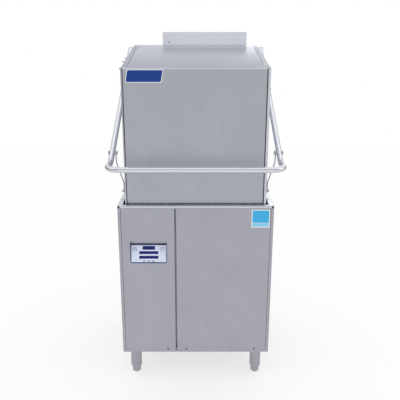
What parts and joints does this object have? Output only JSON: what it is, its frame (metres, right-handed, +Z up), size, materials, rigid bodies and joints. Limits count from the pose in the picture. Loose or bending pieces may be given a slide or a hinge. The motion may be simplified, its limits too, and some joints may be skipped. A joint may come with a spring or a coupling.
{
  "type": "commercial dishwasher",
  "caption": "Upright door-type commercial dishwasher: stainless cabinet and tub, hood with lifting doors, wrap-around tube handle, spray arms and pump.",
  "frame": {"origin": "on the floor, under the middle of the machine's overall box", "axes": "+Z up, +X to the right of someone facing the front, front faces -Y"},
  "size_m": [0.7846, 0.8162, 1.602],
  "materials": {
    "brushed_stainless": "number 4 brushed stainless sheet",
    "polished_tube": "polished stainless tube",
    "frame_steel": "galvanised sheet",
    "cast_legs": "satin cast legs",
    "fastener": "plain machined stainless",
    "spring_steel": "drawn spring wire",
    "keypad_film": "textured polyester film",
    "display": "tinted window",
    "white_plastic": "slippery white plastic",
    "black_plastic": "moulded black plastic",
    "cast_pump": "cast casing",
    "motor_paint": "enamelled motor",
    "hose_rubber": "moulded rubber hose",
    "brass": "machined brass",
    "copper_pipe": "drawn copper pipe"
  },
  "bodies": {
    "root": {"base_frame": "frame_steel", "leg_sleeves": "cast_legs", "levelling_feet": "cast_legs", "wash_tub": "brushed_stainless", "side_panel_right": "brushed_stainless", "side_panel_left": "brushed_stainless", "front_panel_left": "brushed_stainless", "front_panel_right": "brushed_stainless", "rear_panel": "brushed_stainless", "panel_screws": "fastener", "control_bezel": "brushed_stainless", "keypad": "keypad_film", "display_windows": "display", "control_box": "frame_steel", "hood_posts": "brushed_stainless", "hood_top": "brushed_stainless", "hood_back": "brushed_stainless", "vent_panel": "brushed_stainless", "door_guides": "white_plastic", "arm_brackets": "brushed_stainless", "arm_pivot_bolts": "fastener", "lift_springs": "spring_steel", "spring_rods": "fastener", "spring_anchors": "brushed_stainless", "wash_manifold": "brushed_stainless", "rinse_manifold": "brushed_stainless", "rack_rails": "brushed_stainless", "strainer_pans": "brushed_stainless", "scrap_basket": "brushed_stainless", "wash_heater": "fastener", "wash_pump": "cast_pump", "wash_motor": "motor_paint", "pump_hoses": "hose_rubber", "booster_tank": "brushed_stainless", "rinse_valve": "brass", "rinse_riser": "copper_pipe", "drain_pipe": "black_plastic", "power_gland": "black_plastic", "door_switch": "black_plastic"},
    "doors": {"door_front": "brushed_stainless", "door_left": "brushed_stainless", "door_right": "brushed_stainless", "door_ties": "brushed_stainless", "door_magnet": "black_plastic"},
    "handle": {"handle_tube": "polished_tube", "arm_end_caps": "black_plastic", "spring_ears": "brushed_stainless", "arm_bushes": "white_plastic", "upper_link_bolts": "fastener"},
    "link_left": {"lift_link_left": "fastener", "lower_link_bolt_left": "fastener"},
    "link_right": {"lift_link_right": "fastener", "lower_link_bolt_right": "fastener"},
    "lower_wash_arm": {"lower_wash_arm": "brushed_stainless"},
    "upper_wash_arm": {"upper_wash_arm": "brushed_stainless"},
    "lower_rinse_arm": {"lower_rinse_arm": "brushed_stainless"},
    "upper_rinse_arm": {"upper_rinse_arm": "brushed_stainless"},
    "overflow": {"overflow_tube": "white_plastic"},
    "power_key": {"power_key": "keypad_film"},
    "start_key": {"start_key": "keypad_film"}
  },
  "joints": [
    {"name": "doors_lift", "type": "slide", "parent": "root", "child": "doors", "axis": [0, 0, 1], "range_m": [0, 0.44]},
    {"name": "handle_lift", "type": "hinge", "parent": "root", "child": "handle", "pos_m": [0, 0.22661, 1.39455], "axis": [-1, 0, 0], "range_deg": [0, 43.06], "deforming": ["lift_springs"]},
    {"name": "link_left_swing", "type": "hinge", "parent": "handle", "child": "link_left", "pos_m": [-0.3584, -0.21439, 1.07546], "axis": [1, 0, 0], "range_deg": [0, 77.47]},
    {"name": "link_right_swing", "type": "hinge", "parent": "handle", "child": "link_right", "pos_m": [0.3584, -0.21439, 1.07546], "axis": [1, 0, 0], "range_deg": [0, 77.47]},
    {"name": "lower_wash_spin", "type": "hinge", "parent": "root", "child": "lower_wash_arm", "pos_m": [0, -0.04089, 0.806], "axis": [0, 0, 1], "continuous": true},
    {"name": "upper_wash_spin", "type": "hinge", "parent": "root", "child": "upper_wash_arm", "pos_m": [0, -0.04089, 1.396], "axis": [0, 0, 1], "continuous": true},
    {"name": "lower_rinse_spin", "type": "hinge", "parent": "root", "child": "lower_rinse_arm", "pos_m": [0, -0.04089, 0.8405], "axis": [0, 0, 1], "continuous": true},
    {"name": "upper_rinse_spin", "type": "hinge", "parent": "root", "child": "upper_rinse_arm", "pos_m": [0, -0.04089, 1.3615], "axis": [0, 0, 1], "continuous": true},
    {"name": "overflow_lift", "type": "slide", "parent": "root", "child": "overflow", "axis": [0, 0, 1], "range_m": [0, 0.012]},
    {"name": "power_key_press", "type": "slide", "parent": "root", "child": "power_key", "axis": [0, 0.9674, -0.2534], "range_m": [0, 0.0008], "stiffness_N_per_m": 500, "springref_m": -0.0005},
    {"name": "start_key_press", "type": "slide", "parent": "root", "child": "start_key", "axis": [0, 0.9674, -0.2534], "range_m": [0, 0.0008], "stiffness_N_per_m": 500, "springref_m": -0.0005}
  ],
  "couplings": [
    {"joint": "handle_lift", "follows": "doors_lift", "rad_per_m": 1.7079},
    {"joint": "link_left_swing", "follows": "doors_lift", "rad_per_m": 3.073},
    {"joint": "link_right_swing", "follows": "doors_lift", "rad_per_m": 3.073}
  ]
}
